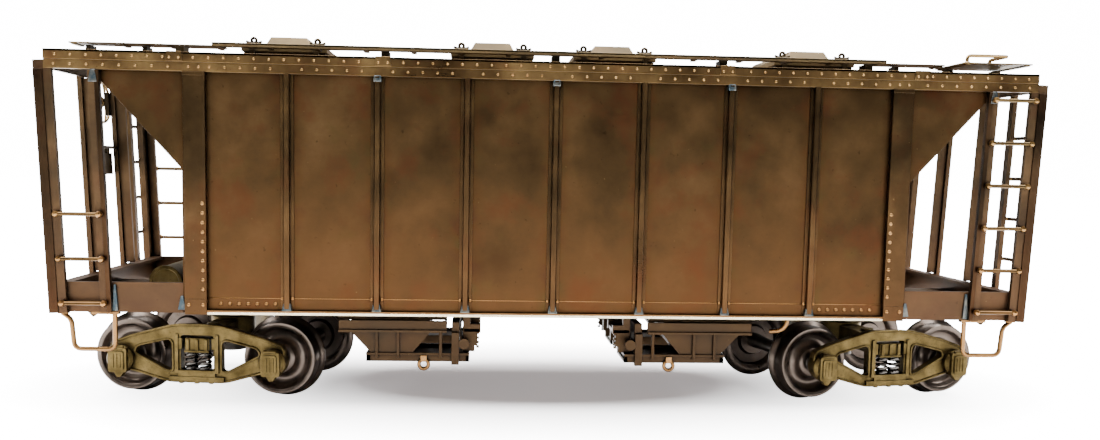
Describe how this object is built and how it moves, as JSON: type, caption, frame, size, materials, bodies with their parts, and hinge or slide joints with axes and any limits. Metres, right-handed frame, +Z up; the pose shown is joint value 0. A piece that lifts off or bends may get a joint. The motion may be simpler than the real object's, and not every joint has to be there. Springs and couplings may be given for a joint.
{
  "type": "model hopper car",
  "caption": "Brass two-bay covered hopper car model with ribbed sides, open ends with ladders, roof hatches, outlet gates and two sprung swivelling trucks.",
  "frame": {"origin": "on the table under the middle of the car, at the bottom of the wheel flanges", "axes": "+X along the car, with the brake wheel at the -X end, +Y to the far side, +Z up"},
  "size_m": [0.1262, 0.0368, 0.0467],
  "materials": {
    "tarnished_brass": "satin, tarnished",
    "bright_brass": "satin",
    "dark_brass": "matt, tarnished",
    "brass_wire": "satin",
    "cast_brass": "cast, satin",
    "wheel_metal": "turned",
    "axle_steel": "satin",
    "spring_steel": "dark"
  },
  "bodies": {
    "car_body": {"side_sheets": "tarnished_brass", "bolster_posts": "tarnished_brass", "side_posts": "tarnished_brass", "side_sills": "bright_brass", "platform_sills": "tarnished_brass", "eave_strips": "bright_brass", "eave_angles": "bright_brass", "roof_sheet": "tarnished_brass", "end_slope_sheets": "dark_brass", "hopper_ridge": "dark_brass", "hopper_skirts": "dark_brass", "hopper_chutes": "dark_brass", "outlet_beams": "dark_brass", "gate_frames": "dark_brass", "gate_racks": "dark_brass", "gate_locks": "dark_brass", "centre_sill": "dark_brass", "body_bolsters": "dark_brass", "centre_plates": "dark_brass", "kingpin_screws": "axle_steel", "end_sills": "tarnished_brass", "end_top_beams": "tarnished_brass", "corner_posts": "tarnished_brass", "end_posts": "tarnished_brass", "end_ladder_stiles": "tarnished_brass", "end_ladder_rungs": "brass_wire", "side_ladder_stiles": "tarnished_brass", "side_ladder_rungs": "brass_wire", "stirrup_steps": "brass_wire", "draft_pads": "dark_brass", "hatch_coamings": "dark_brass", "hatch_covers": "bright_brass", "hatch_latch_bars": "dark_brass", "hatch_ring_nuts": "dark_brass", "side_running_boards": "bright_brass", "end_running_boards": "bright_brass", "roof_platforms": "bright_brass", "board_brackets": "dark_brass", "roof_grab_irons": "brass_wire", "brake_wheel": "brass_wire", "brake_housing": "dark_brass", "brake_step": "dark_brass", "air_reservoir": "cast_brass", "reservoir_brackets": "dark_brass"},
    "left_bolster": {"left_bolster": "cast_brass", "left_springs": "spring_steel"},
    "left_truck_frame": {"left_near_frame": "cast_brass", "left_far_frame": "cast_brass"},
    "left_outer_wheelset": {"left_outer_axle": "axle_steel", "left_outer_wheels": "wheel_metal"},
    "left_inner_wheelset": {"left_inner_axle": "axle_steel", "left_inner_wheels": "wheel_metal"},
    "right_bolster": {"right_bolster": "cast_brass", "right_springs": "spring_steel"},
    "right_truck_frame": {"right_near_frame": "cast_brass", "right_far_frame": "cast_brass"},
    "right_outer_wheelset": {"right_outer_axle": "axle_steel", "right_outer_wheels": "wheel_metal"},
    "right_inner_wheelset": {"right_inner_axle": "axle_steel", "right_inner_wheels": "wheel_metal"}
  },
  "joints": [
    {"name": "left_truck_swivel", "type": "hinge", "parent": "car_body", "child": "left_bolster", "pos_m": [-0.04375, 0, 0.0098], "axis": [0, 0, 1], "range_deg": [-5.5, 18.5]},
    {"name": "left_spring_travel", "type": "slide", "parent": "left_bolster", "child": "left_truck_frame", "axis": [0, 0, 1], "range_m": [-0.0002, 0.0003], "stiffness_N_per_m": 600, "springref_m": -0.0011, "deforming": ["left_springs"]},
    {"name": "left_outer_wheelset_spin", "type": "hinge", "parent": "left_truck_frame", "child": "left_outer_wheelset", "pos_m": [-0.05359, 0.00112, 0.0054], "axis": [0.1132, 0.9936, 0], "continuous": true},
    {"name": "left_inner_wheelset_spin", "type": "hinge", "parent": "left_truck_frame", "child": "left_inner_wheelset", "pos_m": [-0.03391, -0.00112, 0.0054], "axis": [0.1132, 0.9936, 0], "continuous": true},
    {"name": "right_truck_swivel", "type": "hinge", "parent": "car_body", "child": "right_bolster", "pos_m": [0.04375, 0, 0.0098], "axis": [0, 0, 1], "range_deg": [-22.5, 1.5]},
    {"name": "right_spring_travel", "type": "slide", "parent": "right_bolster", "child": "right_truck_frame", "axis": [0, 0, 1], "range_m": [-0.0002, 0.0003], "stiffness_N_per_m": 600, "springref_m": -0.0011, "deforming": ["right_springs"]},
    {"name": "right_outer_wheelset_spin", "type": "hinge", "parent": "right_truck_frame", "child": "right_outer_wheelset", "pos_m": [0.05348, 0.0018, 0.0054], "axis": [-0.1822, 0.9833, 0], "continuous": true},
    {"name": "right_inner_wheelset_spin", "type": "hinge", "parent": "right_truck_frame", "child": "right_inner_wheelset", "pos_m": [0.03402, -0.0018, 0.0054], "axis": [-0.1822, 0.9833, 0], "continuous": true}
  ]
}
